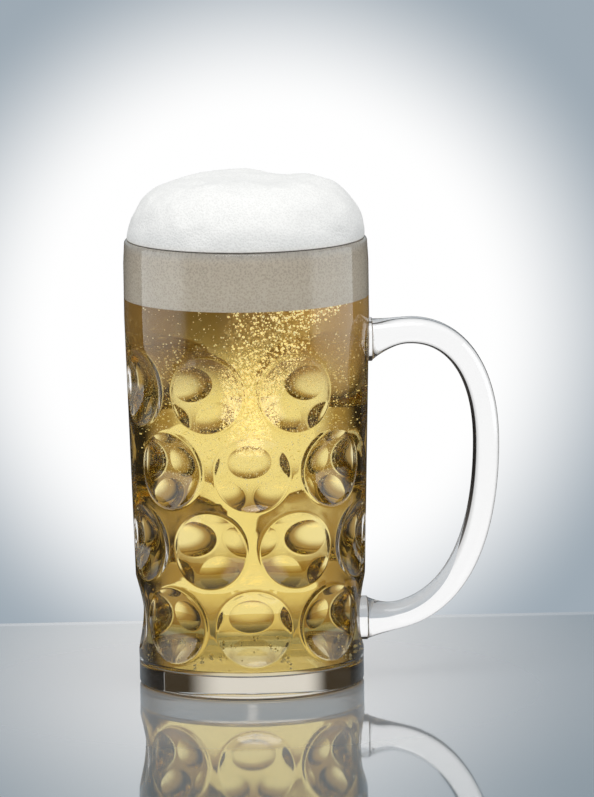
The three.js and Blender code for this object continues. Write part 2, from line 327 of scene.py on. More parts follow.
# Side panels: two upright soft lights, left and right of the mug and out of the camera's sight.
# They show only as reflections, not through the plastic and not in a reflection of a reflection.
PANEL_DISTANCE = 0.5
PANEL_NEAR = -0.36
PANEL_FAR = 0.21
PANEL_LOW = 0.03
PANEL_HIGH = 0.45
PANEL_STRENGTH = 1.8
PANEL_SOFT_LOW = 0.05
PANEL_SOFT_NEAR = 0.14
ONE_REFLECTION = 1.5

for side, name in ((-1, "left_panel"), (1, "right_panel")):
    panel, tree = stage_panel(name, [
        (0, PANEL_NEAR, PANEL_LOW), (0, PANEL_FAR, PANEL_LOW),
        (0, PANEL_FAR, PANEL_HIGH), (0, PANEL_NEAR, PANEL_HIGH),
    ], (side * PANEL_DISTANCE, 0, 0))
    panel.visible_transmission = False
    split = split_xyz(tree, object_place(tree))
    glow = add_node(tree, "ShaderNodeEmission")
    glow.inputs["Color"].default_value = (*PANEL_WHITE, 1.0)
    soft = math_node(
        tree, "MULTIPLY", ramp_node(tree, split["Z"], PANEL_LOW, PANEL_LOW + PANEL_SOFT_LOW, 0, 1),
        ramp_node(tree, split["Y"], PANEL_NEAR, PANEL_NEAR + PANEL_SOFT_NEAR, 0, PANEL_STRENGTH),
    )
    mirrors = add_node(tree, "ShaderNodeLightPath").outputs["Glossy Depth"]
    soft = math_node(tree, "MULTIPLY", soft, math_node(tree, "LESS_THAN", mirrors, ONE_REFLECTION))
    tree.links.new(soft, glow.inputs["Strength"])
    show(tree, glow)


# Overhead lamp: one large round softbox above and in front of the mug, aimed at its middle. It
# lights the foam and the table and throws the mug's soft shadow.
LAMP_SIZE = 0.9
LAMP_POWER = 6.0
LAMP_PLACE = Vector((-0.05, -0.4, 1.3))
LAMP_AIM = Vector((0, 0, 0.1))

lamp_data = bpy.data.lights.new("overhead_softbox", "AREA")
lamp_data.shape = "DISK"
lamp_data.size = LAMP_SIZE
lamp_data.energy = LAMP_POWER
lamp = bpy.data.objects.new("overhead_softbox", lamp_data)
lamp.location = LAMP_PLACE
lamp.rotation_euler = (LAMP_AIM - LAMP_PLACE).to_track_quat("-Z", "Y").to_euler()
scene.collection.objects.link(lamp)


# Table top: a pale sheet with a polished coat that mirrors the mug. Its colour holds painted light:
# a painted pool of light round the mug that fades to grey, a painted highlight line along its back
# edge, painted shade where the plastic reflects it, painted light where it is seen through clear
# plastic and a painted golden pool of light where it is seen through beer.
TABLE_POOL_OF_LIGHT = (0.43, 0.45, 0.46)
TABLE_GREY = (0.22, 0.27, 0.30)
TABLE_POOL_FALL = (0.06, 0.30)
TABLE_RIM_HIGHLIGHT = (0.52, 0.54, 0.56)
TABLE_SHADE_IN_REFLECTIONS = (0.10, 0.09, 0.08)
TABLE_LIGHT_THROUGH_CLEAR = (0.92, 0.92, 0.92)
GOLD_POOL_LIGHT = (0.92, 0.66, 0.26)
GOLD_POOL_SHADE = (0.08, 0.05, 0.018)
GOLD_POOL_FALL = (0.07, 0.19)
GOLD_POOL_MIDDLE = (0, 0.24, 0)
TABLE_HALF = 0.45
TABLE_FRONT = -0.55
TABLE_BACK = 0.148
TABLE_DROP = 0.0003
RIM_HIGHLIGHT_EDGE = (TABLE_BACK - 0.008, TABLE_BACK - 0.006)
FADE_WIDTH = 0.05


def new_finish(name):
    """A new material, its tree and its Principled shader."""
    finish = bpy.data.materials.new(name)
    finish.use_nodes = True
    return finish, finish.node_tree, finish.node_tree.nodes["Principled BSDF"]


table = bpy.data.objects.new("table_top", bpy.data.meshes.new("table_top"))
table.data.from_pydata([
    (-TABLE_HALF, TABLE_FRONT, 0), (TABLE_HALF, TABLE_FRONT, 0),
    (TABLE_HALF, TABLE_BACK, 0), (-TABLE_HALF, TABLE_BACK, 0),
], [], [(0, 1, 2, 3)])
table.location = (0, 0, -TABLE_DROP)
scene.collection.objects.link(table)
table_finish, tree, gloss = new_finish("table_gloss")
gloss.inputs["Roughness"].default_value = 0.04
gloss.inputs["IOR"].default_value = 2.2
gloss.inputs["Coat Weight"].default_value = 0.7
where = object_place(tree)
split = split_xyz(tree, where)
rays = add_node(tree, "ShaderNodeLightPath").outputs
# Painted light: a pool of light round the mug, pale near it and grey further out.
off_light_pool = ramp_node(tree, distance_to(tree, where, (0, 0, 0)), *TABLE_POOL_FALL, 0, 1)
paint = mix_colours(tree, off_light_pool, TABLE_POOL_OF_LIGHT, TABLE_GREY)
# Painted highlight: a lighter line along the table's back edge.
paint = mix_colours(tree, ramp_node(tree, split["Y"], *RIM_HIGHLIGHT_EDGE, 0, 1), paint, TABLE_RIM_HIGHLIGHT)
# Painted shade: the table is dim where the plastic reflects it.
paint = mix_colours(tree, rays["Is Glossy Ray"], paint, TABLE_SHADE_IN_REFLECTIONS)
# Painted light: the table is pale where it is seen through clear plastic.
paint = mix_colours(tree, rays["Is Transmission Ray"], paint, TABLE_LIGHT_THROUGH_CLEAR)
# Painted light: a golden pool of light, bright towards the table's back and dark near the mug, seen only
# through beer.
off_gold_pool = ramp_node(tree, distance_to(tree, where, GOLD_POOL_MIDDLE), *GOLD_POOL_FALL, 0, 1)
golden = mix_colours(tree, off_gold_pool, GOLD_POOL_LIGHT, GOLD_POOL_SHADE)
through_beer = math_node(tree, "GREATER_THAN", rays["Transmission Depth"], CLEAR_SURFACES)
tree.links.new(mix_colours(tree, through_beer, paint, golden), gloss.inputs["Base Color"])
sideways = math_node(tree, "ABSOLUTE", split["X"])
fade = math_node(
    tree, "MULTIPLY", ramp_node(tree, sideways, TABLE_HALF - FADE_WIDTH, TABLE_HALF, 1, 0),
    ramp_node(tree, split["Y"], TABLE_FRONT, TABLE_FRONT + FADE_WIDTH, 0, 1),
)
tree.links.new(fade, gloss.inputs["Alpha"])
table.data.materials.append(table_finish)


# Base disc: a thick moulded disc of clear plastic with a rounded lower edge. The shell is welded
# on to its shoulder, and its low spigot closes the shell's bore and is the floor under the beer.
WALL = 0.003
WELD = 0.0001
BASE_EDGE = 0.0014
BASE_LEAD = 0.0002
BASE_SEAT = 0.0003
# Painted reflection: a warm tint on the clear disc that stands in for the beer reflected in it.
BASE_BEER_REFLECTION_TINT = (0.91, 0.895, 0.85)
BASE_RIPPLE = 0.05
PLASTIC_IOR = 1.5
WAVE_SCALE = 45.0
WAVE_HEIGHT = 0.0004
SMEAR_SCALE = 120.0
SMEAR_RANGE = (0.45, 0.75)
SMEAR_ROUGHNESS = 0.02
ROUND_STEPS = 128
SHARP_ANGLE = math.radians(34)
SAME_POINT = 2e-6
NO_LENGTH = 1e-7

_, base_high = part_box("base_disc")
shell_low, shell_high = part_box("dimpled_shell")
foot_radius = base_high.y
floor_height = base_high.z
shell_foot = shell_low.z
bore_radius = foot_radius - WALL


def link_mesh(name, vertices, faces):
    """A new mesh object at the origin, with merged seams and its faces turned outwards."""
    made = bmesh.new()
    corners = [made.verts.new(v) for v in vertices]
    for face in faces:
        made.faces.new([corners[i] for i in face])
    bmesh.ops.remove_doubles(made, verts=made.verts, dist=SAME_POINT)
    bmesh.ops.dissolve_degenerate(made, edges=made.edges, dist=NO_LENGTH)
    bmesh.ops.recalc_face_normals(made, faces=made.faces)
    for face in made.faces:
        face.smooth = True
    data = bpy.data.meshes.new(name)
    made.to_mesh(data)
    made.free()
    data.set_sharp_from_angle(angle=SHARP_ANGLE)
    piece = bpy.data.objects.new(name, data)
    scene.collection.objects.link(piece)
    return piece


def turned(profile, steps):
    """The vertices and faces of [radius, height] points turned about Z, closed on the axis."""
    angles = np.arange(steps) * 2 * math.pi / steps
    vertices = [(r * math.cos(a), r * math.sin(a), z) for r, z in profile for a in angles]
    faces = []
    for row in range(len(profile) - 1):
        for i in range(steps):
            j = (i + 1) % steps
            low, high = row * steps, (row + 1) * steps
            corners = [low + i, low + j, high + j, high + i]
            if profile[row][0] == 0:
                corners = [low, high + j, high + i]
            elif profile[row + 1][0] == 0:
                corners = [low + i, low + j, high]
            faces.append(corners)
    return vertices, faces


def arc(r, z, radius, start, end, steps):
    """Profile points on an arc, with its angles in degrees."""
    turn = np.radians(np.linspace(start, end, steps + 1))
    return [(r + radius * math.cos(a), z + radius * math.sin(a)) for a in turn]


def noise_node(tree, where, scale, detail=2.0):
    """A noise from 0 to 1 over an object."""
    made = add_node(tree, "ShaderNodeTexNoise")
    made.inputs["Scale"].default_value = scale
    made.inputs["Detail"].default_value = detail
    tree.links.new(where, made.inputs["Vector"])
    return made.outputs["Fac"]


moulded_skin = bpy.data.node_groups.new("moulded_skin", "ShaderNodeTree")
moulded_skin.interface.new_socket("Place", in_out="INPUT", socket_type="NodeSocketVector")
moulded_skin.interface.new_socket("Height", in_out="OUTPUT", socket_type="NodeSocketFloat")
moulded_skin.interface.new_socket("Roughness", in_out="OUTPUT", socket_type="NodeSocketFloat")
given = add_node(moulded_skin, "NodeGroupInput").outputs
result = add_node(moulded_skin, "NodeGroupOutput").inputs
moulded_skin.links.new(noise_node(moulded_skin, given["Place"], WAVE_SCALE, 1.0), result["Height"])
smear = noise_node(moulded_skin, given["Place"], SMEAR_SCALE)
smear = ramp_node(moulded_skin, smear, *SMEAR_RANGE, 0, SMEAR_ROUGHNESS)
moulded_skin.links.new(smear, result["Roughness"])


def moulded_plastic(name, tint, ripple):
    """Clear polished plastic: glassy all through, with the faint ripple of a moulded skin."""
    finish, tree, skin = new_finish(name)
    skin.inputs["Base Color"].default_value = (*tint, 1.0)
    skin.inputs["IOR"].default_value = PLASTIC_IOR
    skin.inputs["Transmission Weight"].default_value = 1.0
    moulded = add_node(tree, "ShaderNodeGroup", node_tree=moulded_skin)
    tree.links.new(object_place(tree), moulded.inputs["Place"])
    bump = add_node(tree, "ShaderNodeBump")
    bump.inputs["Strength"].default_value = ripple
    bump.inputs["Distance"].default_value = WAVE_HEIGHT
    tree.links.new(moulded.outputs["Height"], bump.inputs["Height"])
    tree.links.new(bump.outputs["Normal"], skin.inputs["Normal"])
    tree.links.new(moulded.outputs["Roughness"], skin.inputs["Roughness"])
    return finish


base_profile = [
    (0, 0),
    (foot_radius - BASE_EDGE - BASE_LEAD, 0),
    *arc(foot_radius - BASE_EDGE, BASE_EDGE, BASE_EDGE, -90, 0, 8),
    (foot_radius, BASE_EDGE + BASE_LEAD),
    (foot_radius, shell_foot - BASE_SEAT),
    (bore_radius + WELD, shell_foot - BASE_SEAT),
    (bore_radius + WELD, floor_height),
    (0, floor_height),
]
base = link_mesh("base_disc_clear", *turned(base_profile, ROUND_STEPS))
base.data.materials.append(moulded_plastic("base_plastic", BASE_BEER_REFLECTION_TINT, BASE_RIPPLE))
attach(base, "root")
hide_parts("base_disc")


# Dimpled shell: the thin clear wall, blown in one piece. Staggered rows of round bowls push it
# inwards with an even thickness, and a plain band runs under its round lip. Its points lie in rings
# round the bowls, which keeps their edges crisp, so the wall is made from points and not from nodes.
MUG_HEIGHT = shell_high.z
BELLY_RADIUS = shell_high.y
BELLY_DROP = 0.035
BAND_DROP = 0.010
LIP_RADIUS = WALL / 2
LIP_DRAW = 0.0005
WALL_HEIGHTS = [shell_foot, MUG_HEIGHT - BELLY_DROP, MUG_HEIGHT - BAND_DROP, MUG_HEIGHT - LIP_RADIUS]
WALL_RADII = [foot_radius, BELLY_RADIUS, BELLY_RADIUS, BELLY_RADIUS - LIP_DRAW]
DIMPLE_RADIUS = 0.017
DIMPLE_DEPTH = 0.0065
DIMPLES_AROUND = 8
FIRST_ROW = 0.031
ROW_PITCH = 0.035
ROWS = 4
UNBROKEN_ROW = 2
EDGE_ROUNDING = 0.0005
BULGE_RADIUS = 0.0181
BULGE_ROUNDING = 0.0006
JOINT_HEIGHTS = (0.1533, 0.0268)
PAD_HEIGHT = 0.0196
PAD_WIDTH = 0.0210
PAD_PROUD = 0.0016
PAD_CLEAR = 0.004
PAD_EDGE = 0.0006
PAD_STEPS = 64
PAD_EDGE_POINTS = 5
LIP_STEPS = 10
CELL_COLUMNS = 16
DIMPLE_STEPS = 72
BOWL_RINGS = np.linspace(0.1, 0.92, 8)
EDGE_RINGS = np.array([-1.0, -0.62, -0.3, 0.0, 0.3, 0.62, 1.0])
EDGE_REACH = 1.9
GRID_STEP = 0.003
CLEAR = (1.0, 1.0, 1.0)
SHELL_RIPPLE = 0.06
cell_half = math.pi / DIMPLES_AROUND


def wall_radius(z):
    """The outside of the plain wall at a height."""
    return np.interp(z, WALL_HEIGHTS, WALL_RADII)


def dimple_places():
    """Azimuth from the front and height of every dimple that the shell has."""
    nearest = DIMPLE_RADIUS + PAD_HEIGHT / 2 + PAD_CLEAR
    places = []
    for row in range(ROWS):
        height = FIRST_ROW + row * ROW_PITCH
        for place in range(DIMPLES_AROUND):
            azimuth = (place + (row % 2) / 2) * 2 * cell_half
            from_handle = math.acos(math.sin(azimuth)) * wall_radius(height)
            to_joint = math.hypot(from_handle, JOINT_HEIGHTS[0] - height)
            on_parting_line = abs(math.cos(azimuth)) < 1e-6
            if to_joint > nearest and not (row == UNBROKEN_ROW and on_parting_line):
                places.append((azimuth, height))
    return places


def bowl_radius(azimuth, z, place, grow):
    """How far from the axis a dimple's ellipsoid lies, or infinity beside it."""
    around = np.angle(np.exp(1j * (azimuth - place[0])))
    wall = wall_radius(place[1])
    radial = (DIMPLE_RADIUS ** 2 + DIMPLE_DEPTH ** 2) / (2 * DIMPLE_DEPTH)
    centre = radial - DIMPLE_DEPTH
    fall = wall - math.sqrt(wall ** 2 - DIMPLE_RADIUS ** 2)
    across = DIMPLE_RADIUS / math.sqrt(1 - ((centre + fall) / radial) ** 2)
    across, upright, radial = across + grow, radial + grow, radial + grow
    a = np.sin(around) ** 2 / across ** 2 + np.cos(around) ** 2 / radial ** 2
    b = np.cos(around) * (wall + centre) / radial ** 2
    c = (wall + centre) ** 2 / radial ** 2 + (z - place[1]) ** 2 / upright ** 2 - 1
    inside = b * b - a * c
    near = (np.abs(around) < 2 * cell_half) & (inside > 0)
    return np.where(near, (b - np.sqrt(np.maximum(inside, 0))) / a, np.inf)


def dimpled_radius(azimuth, z, inset, rounding):
    """The wall's radius with its dimples, a distance inside the outside, with rounded edges."""
    plain = wall_radius(z) - inset
    depth = np.zeros_like(plain)
    for place in dimple_places():
        sunk = np.clip(plain - bowl_radius(azimuth, z, place, inset), -rounding, None)
        blended = np.where(sunk < rounding, (sunk + rounding) ** 2 / (4 * rounding), sunk)
        depth = np.maximum(depth, blended)
    return plain - depth


def cell_dimples():
    """Side and height of each place for a dimple in one cell: on its middle, or halved by both sides."""
    places = []
    for row in range(ROWS):
        for side in ([0] if row % 2 == 0 else [-1, 1]):
            places.append((side, FIRST_ROW + row * ROW_PITCH))
    return places


def wall_cell(edge_radius, rounding, bottom, top):
    """Azimuths, heights and triangles of the wall between two parting planes, whose points follow
    the dimples' edges in rings."""
    rings = [*BOWL_RINGS * edge_radius, *(edge_radius + EDGE_RINGS * rounding * EDGE_REACH)]
    points, edges = [], []
    for side, height in cell_dimples():
        wall = wall_radius(height)
        turns = np.linspace(0, 2 * math.pi, DIMPLE_STEPS + 1)[:-1]
        if side:
            turns = np.linspace(-math.pi / 2, math.pi / 2, DIMPLE_STEPS // 2 + 1)
        points.append((side * cell_half, height))
        for ring in rings:
            first = len(points)
            for turn in turns:
                along = math.asin(ring * math.cos(turn) / wall)
                azimuth = side * cell_half - side * abs(along) if side else along
                points.append((azimuth, height + ring * math.sin(turn)))
            count = len(points) - first
            edges += [(first + i, first + i + 1) for i in range(count - 1)]
            if not side:
                edges.append((first + count - 1, first))
    keep_off = rings[-1] + GRID_STEP / 2
    rows = round((top - bottom) / GRID_STEP)
    for row in range(rows + 1):
        z = bottom + (top - bottom) * row / rows
        for column in range(CELL_COLUMNS + 1):
            azimuth = cell_half * (2 * column / CELL_COLUMNS - 1)
            clear = all(
                math.hypot(wall_radius(height) * math.sin(azimuth - side * cell_half), z - height) > keep_off
                for side, height in cell_dimples()
            )
            if clear or row in (0, rows):
                points.append((azimuth, z))
    flat = [Vector((azimuth * foot_radius, z)) for azimuth, z in points]
    cut, _, triangles, *_ = delaunay_2d_cdt(flat, edges, [], 0, 1e-9)
    cut = np.array([tuple(v) for v in cut])
    corners = cut[np.array(triangles)]
    on_side = np.abs(np.abs(corners[:, :, 0]) - cell_half * foot_radius) < NO_LENGTH
    whole = [triangle for triangle, edge in zip(triangles, on_side.all(axis=1)) if not edge]
    return cut[:, 0] / foot_radius, cut[:, 1], whole


def wall_surface(edge_radius, rounding, inset, bottom, top):
    """The whole wall's vertices and triangles, from one cell repeated round the axis."""
    azimuth, z, triangles = wall_cell(edge_radius, rounding, bottom, top)
    vertices, faces = [], []
    for k in range(DIMPLES_AROUND):
        turn = azimuth + 2 * cell_half * k
        r = dimpled_radius(turn, z, inset, rounding)
        first = len(vertices)
        vertices += list(zip(r * np.sin(turn), -r * np.cos(turn), z))
        faces += [[first + i for i in triangle] for triangle in triangles]
    return vertices, faces


def ring_strip(profile, steps):
    """Vertices and faces of an open strip of [radius, height] points, turned from the front."""
    angles = (np.arange(steps) / steps) * 2 * math.pi - cell_half
    vertices = [(r * math.sin(a), -r * math.cos(a), z) for r, z in profile for a in angles]
    faces = []
    for row in range(len(profile) - 1):
        for i in range(steps):
            j = (i + 1) % steps
            low, high = row * steps, (row + 1) * steps
            faces.append([low + i, low + j, high + j, high + i])
    return vertices, faces


def joined(*parts):
    """Several lists of vertices and faces as one."""
    vertices, faces = [], []
    for some_vertices, some_faces in parts:
        first = len(vertices)
        vertices += list(some_vertices)
        faces += [[first + i for i in face] for face in some_faces]
    return vertices, faces


def pad(height):
    """A flat oval boss for an end of the handle, from inside the wall to its rounded outer edge."""
    face = wall_radius(height) + PAD_PROUD
    root = face - PAD_PROUD - WALL / 2
    if height < FIRST_ROW + DIMPLE_RADIUS:
        root -= DIMPLE_DEPTH
    rings = [(0, root), (1, root), *[
        (1 - PAD_EDGE * (1 - math.sin(a)) / PAD_HEIGHT * 2, face - PAD_EDGE * (1 - math.cos(a)))
        for a in np.linspace(math.pi / 2, 0, PAD_EDGE_POINTS)
    ], (0, face)]
    vertices, faces = turned(rings, PAD_STEPS)
    return [(x, v * PAD_WIDTH / 2, height + u * PAD_HEIGHT / 2) for u, v, x in vertices], faces


lip_foot = MUG_HEIGHT - LIP_RADIUS
lip_outside = BELLY_RADIUS - LIP_DRAW
around_steps = CELL_COLUMNS * DIMPLES_AROUND
lip = arc(lip_outside - LIP_RADIUS, lip_foot, LIP_RADIUS, 0, 180, LIP_STEPS)
foot_ring = [(foot_radius, shell_foot), (bore_radius, shell_foot)]
shell = link_mesh("dimpled_shell_clear", *joined(
    wall_surface(DIMPLE_RADIUS, EDGE_ROUNDING, 0.0, shell_foot, lip_foot),
    wall_surface(BULGE_RADIUS, BULGE_ROUNDING, WALL, shell_foot, lip_foot),
    ring_strip(lip, around_steps),
    ring_strip(foot_ring, around_steps),
    *[pad(height) for height in JOINT_HEIGHTS],
))
shell.data.materials.append(moulded_plastic("shell_plastic", CLEAR, SHELL_RIPPLE))
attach(shell, "root")
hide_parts("dimpled_shell")


# Handle: a solid oval bar of clear plastic, moulded in one piece. It swells at both ends, where it
# is welded to the shell's pads. A tree of nodes sweeps its section along the path between them.
BAR_THICKNESS = 0.0116
BAR_WIDTH = 0.017
BAR_SQUARENESS = 2.8
FLARE_LENGTH = 0.015
FLARE_THICKNESS = 0.0064
FLARE_WIDTH = 0.0024
GRIP_REACH = 0.0518
GRIP_DROP = 0.046
START_PULL = (0.028, 0, 0.0122)
GRIP_RISE = (0, 0, 0.041)
GRIP_FALL = (0, 0, -0.0228)
END_PULL = (0.050, 0, -0.0026)
BAR_STEPS = 79
BAR_SIDES = 48
PATH_MERGE = 1e-6
BAR_RIPPLE = 0.04


def new_tree(name, **inputs):
    """A tree of geometry nodes with named inputs of each kind, and the sockets that give their values."""
    tree = bpy.data.node_groups.new(name, "GeometryNodeTree")
    for kind, labels in inputs.items():
        for label in labels:
            tree.interface.new_socket(label, in_out="INPUT", socket_type="NodeSocket" + kind)
    tree.interface.new_socket("Geometry", in_out="OUTPUT", socket_type="NodeSocketGeometry")
    return tree, add_node(tree, "NodeGroupInput").outputs


def end_tree(tree, shape, material):
    """The end of a tree: real, smooth faces in their material."""
    for kind in ("GeometryNodeRealizeInstances", "GeometryNodeSetShadeSmooth", "GeometryNodeSetMaterial"):
        made = add_node(tree, kind)
        tree.links.new(shape, made.inputs[0])
        shape = made.outputs[0]
    tree.links.new(material, made.inputs["Material"])
    tree.links.new(shape, add_node(tree, "NodeGroupOutput").inputs[0])


def grown(name, tree, **values):
    """What a tree makes from the values of its inputs, as an object with a plain mesh."""
    piece = bpy.data.objects.new(name, bpy.data.meshes.new(name))
    scene.collection.objects.link(piece)
    nodes = piece.modifiers.new("nodes", "NODES")
    nodes.node_group = tree
    for socket in tree.interface.items_tree:
        if socket.in_out == "INPUT":
            nodes[socket.identifier] = values[socket.name.replace(" ", "_")]
    made = piece.evaluated_get(bpy.context.evaluated_depsgraph_get())
    piece.data = bpy.data.meshes.new_from_object(made)
    piece.modifiers.clear()
    return piece


def vector_node(tree, operation, first, second, result="Vector"):
    """The output of a Vector Math node on two sockets."""
    made = add_node(tree, "ShaderNodeVectorMath", operation=operation)
    tree.links.new(first, made.inputs[0])
    tree.links.new(second, made.inputs["Scale" if operation == "SCALE" else 1])
    return made.outputs[result]


def combined(tree, x=None, y=None, z=None):
    """A vector of the values that are given, and of zeros."""
    made = add_node(tree, "ShaderNodeCombineXYZ")
    for socket, value in zip(made.inputs, (x, y, z)):
        if value is not None:
            tree.links.new(value, socket)
    return made.outputs[0]


def square_to(tree, heading):
    """The direction in the XZ plane that is square to a heading."""
    split = split_xyz(tree, heading)
    return combined(tree, x=split["Z"], z=math_node(tree, "MULTIPLY", split["X"], -1.0))


def squared(tree, share, squareness):
    """A sine or cosine that turns the bar's oval section a little square."""
    power = math_node(tree, "DIVIDE", 2.0, squareness)
    size = math_node(tree, "POWER", math_node(tree, "ABSOLUTE", share), power)
    return math_node(tree, "MULTIPLY", math_node(tree, "SIGN", share), size)


def half_size(tree, size, growth, flare):
    """Half of the section's size, with its share of the swelling at the ends."""
    swollen = math_node(tree, "ADD", size, math_node(tree, "MULTIPLY", growth, flare))
    return math_node(tree, "MULTIPLY", swollen, 0.5)


tree, given = new_tree(
    "swept_bar",
    Vector=("Start", "Start Pull", "Grip Rise", "Grip", "Grip Fall", "End Pull", "End"),
    Float=("Thickness", "Width", "Squareness", "Flare Length", "Flare Thickness", "Flare Width"),
    Int=("Steps", "Sides"),
    Material=("Material",),
)
# The path: two curves from pad to grip and from grip to pad, made one
halves = add_node(tree, "GeometryNodeJoinGeometry")
for stretch in (("Start", "Start Pull", "Grip Rise", "Grip"), ("Grip", "Grip Fall", "End Pull", "End")):
    half = add_node(tree, "GeometryNodeCurvePrimitiveBezierSegment", mode="OFFSET")
    tree.links.new(given["Steps"], half.inputs["Resolution"])
    for socket, name in zip(("Start", "Start Handle", "End Handle", "End"), stretch):
        tree.links.new(given[name], half.inputs[socket])
    tree.links.new(half.outputs[0], halves.inputs[0])
line = add_node(tree, "GeometryNodeCurveToMesh")
tree.links.new(halves.outputs[0], line.inputs["Curve"])
merged = add_node(tree, "GeometryNodeMergeByDistance")
merged.inputs["Distance"].default_value = PATH_MERGE
tree.links.new(line.outputs[0], merged.inputs[0])
path = add_node(tree, "GeometryNodeMeshToCurve")
tree.links.new(merged.outputs[0], path.inputs[0])

# What the section needs at each step: its centre, its directions and how far it swells
along = add_node(tree, "GeometryNodeSplineParameter").outputs
whole = add_node(tree, "GeometryNodeSplineLength").outputs["Length"]
tangent = add_node(tree, "GeometryNodeInputTangent").outputs[0]
position = add_node(tree, "GeometryNodeInputPosition").outputs[0]
to_end = math_node(tree, "SUBTRACT", whole, along["Length"])
from_pad = math_node(tree, "MINIMUM", along["Length"], to_end)
share = math_node(tree, "DIVIDE", from_pad, given["Flare Length"])
near_pad = math_node(tree, "MAXIMUM", math_node(tree, "SUBTRACT", 1.0, share), 0.0)
square_on = ramp_node(tree, share, 0, 1, 1, 0)
free = math_node(tree, "SUBTRACT", 1.0, square_on)
first_half = math_node(tree, "LESS_THAN", along["Factor"], 0.5)
outwards = math_node(tree, "SUBTRACT", math_node(tree, "MULTIPLY", first_half, 2.0), 1.0)
off_pad = combined(tree, x=math_node(tree, "MULTIPLY", outwards, square_on))
heading = vector_node(tree, "ADD", vector_node(tree, "SCALE", tangent, free), off_pad)
kept = add_node(tree, "GeometryNodeCaptureAttribute")
tree.links.new(path.outputs[0], kept.inputs[0])
for kind, label, value in (
    ("VECTOR", "Centre", position),
    ("VECTOR", "Across", square_to(tree, tangent)),
    ("VECTOR", "Side", square_to(tree, heading)),
    ("FLOAT", "Flare", math_node(tree, "MULTIPLY", near_pad, near_pad)),
):
    kept.capture_items.new(kind, label)
    tree.links.new(value, kept.inputs[label])

# The sweep of a plain round section, and its squared and swollen shape
ring = add_node(tree, "GeometryNodeCurvePrimitiveCircle")
ring.inputs["Radius"].default_value = 1.0
tree.links.new(given["Sides"], ring.inputs["Resolution"])
sweep = add_node(tree, "GeometryNodeCurveToMesh")
sweep.inputs["Fill Caps"].default_value = True
tree.links.new(kept.outputs[0], sweep.inputs["Curve"])
tree.links.new(ring.outputs[0], sweep.inputs["Profile Curve"])
off_path = vector_node(tree, "SUBTRACT", position, kept.outputs["Centre"])
cosine = vector_node(tree, "DOT_PRODUCT", off_path, kept.outputs["Across"], "Value")
sine = split_xyz(tree, off_path)["Y"]
flare = kept.outputs["Flare"]
thick = math_node(
    tree, "MULTIPLY", squared(tree, cosine, given["Squareness"]),
    half_size(tree, given["Thickness"], given["Flare Thickness"], flare),
)
wide = math_node(
    tree, "MULTIPLY", squared(tree, sine, given["Squareness"]),
    half_size(tree, given["Width"], given["Flare Width"], flare),
)
side = add_node(tree, "ShaderNodeVectorMath", operation="NORMALIZE")
tree.links.new(kept.outputs["Side"], side.inputs[0])
moved = vector_node(tree, "SCALE", side.outputs[0], thick)
moved = vector_node(tree, "ADD", moved, combined(tree, y=wide))
shaped = add_node(tree, "GeometryNodeSetPosition")
tree.links.new(sweep.outputs[0], shaped.inputs[0])
tree.links.new(vector_node(tree, "ADD", kept.outputs["Centre"], moved), shaped.inputs["Position"])
end_tree(tree, shaped.outputs[0], given["Material"])

pad_faces = [float(wall_radius(z)) + PAD_PROUD - WELD for z in JOINT_HEIGHTS]
handle = grown(
    "handle_clear", tree,
    Start=(pad_faces[0], 0, JOINT_HEIGHTS[0]), Start_Pull=START_PULL, Grip_Rise=GRIP_RISE,
    Grip=(BELLY_RADIUS + GRIP_REACH, 0, JOINT_HEIGHTS[0] - GRIP_DROP), Grip_Fall=GRIP_FALL,
    End_Pull=END_PULL, End=(pad_faces[1], 0, JOINT_HEIGHTS[1]),
    Thickness=BAR_THICKNESS, Width=BAR_WIDTH, Squareness=BAR_SQUARENESS, Flare_Length=FLARE_LENGTH,
    Flare_Thickness=FLARE_THICKNESS, Flare_Width=FLARE_WIDTH, Steps=BAR_STEPS, Sides=BAR_SIDES,
    Material=moulded_plastic("handle_plastic", CLEAR, BAR_RIPPLE),
)
handle.data.set_sharp_from_angle(angle=SHARP_ANGLE)
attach(handle, "root")
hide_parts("handle")


# Beer: a clear golden lager that fills the shell up to the foam. It wets the wall all round, so its
# side follows the dimples and runs a hair into the plastic, with no film of air between.
BEER_COLOUR = (1.0, 0.85, 0.10)
BEER_DENSITY = 16.5
BEER_IOR = 1.34
STIR_SCALE = 90.0
STIR_RANGE = (0.5, 0.8)
STIR_ROUGHNESS = 0.015

_, beer_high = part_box("beer")
beer_top = beer_high.z
beer_floor = floor_height - 4 * WELD
inside = WALL - WELD


def disc(height):
    """Vertices and triangles of a flat disc across the beer, whose rim has the wall's points."""
    rim, _ = ring_strip([(float(wall_radius(height)) - inside, height)], around_steps)
    return [(0, 0, height)] + rim, [[0, 1 + i, 1 + (i + 1) % around_steps] for i in range(around_steps)]


beer = link_mesh("beer_lager", *joined(
    wall_surface(BULGE_RADIUS, BULGE_ROUNDING, inside, beer_floor, beer_top),
    disc(beer_floor),
    disc(beer_top),
))
lager, tree, drink = new_finish("beer_lager")
drink.inputs["Base Color"].default_value = (*CLEAR, 1.0)
drink.inputs["IOR"].default_value = BEER_IOR
drink.inputs["Transmission Weight"].default_value = 1.0
stirred = noise_node(tree, object_place(tree), STIR_SCALE)
tree.links.new(ramp_node(tree, stirred, *STIR_RANGE, 0, STIR_ROUGHNESS), drink.inputs["Roughness"])
gold = add_node(tree, "ShaderNodeVolumeAbsorption")
gold.inputs["Color"].default_value = (*BEER_COLOUR, 1.0)
gold.inputs["Density"].default_value = BEER_DENSITY
tree.links.new(gold.outputs[0], tree.nodes["Material Output"].inputs["Volume"])
beer.data.materials.append(lager)
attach(beer, "root")
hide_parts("beer")


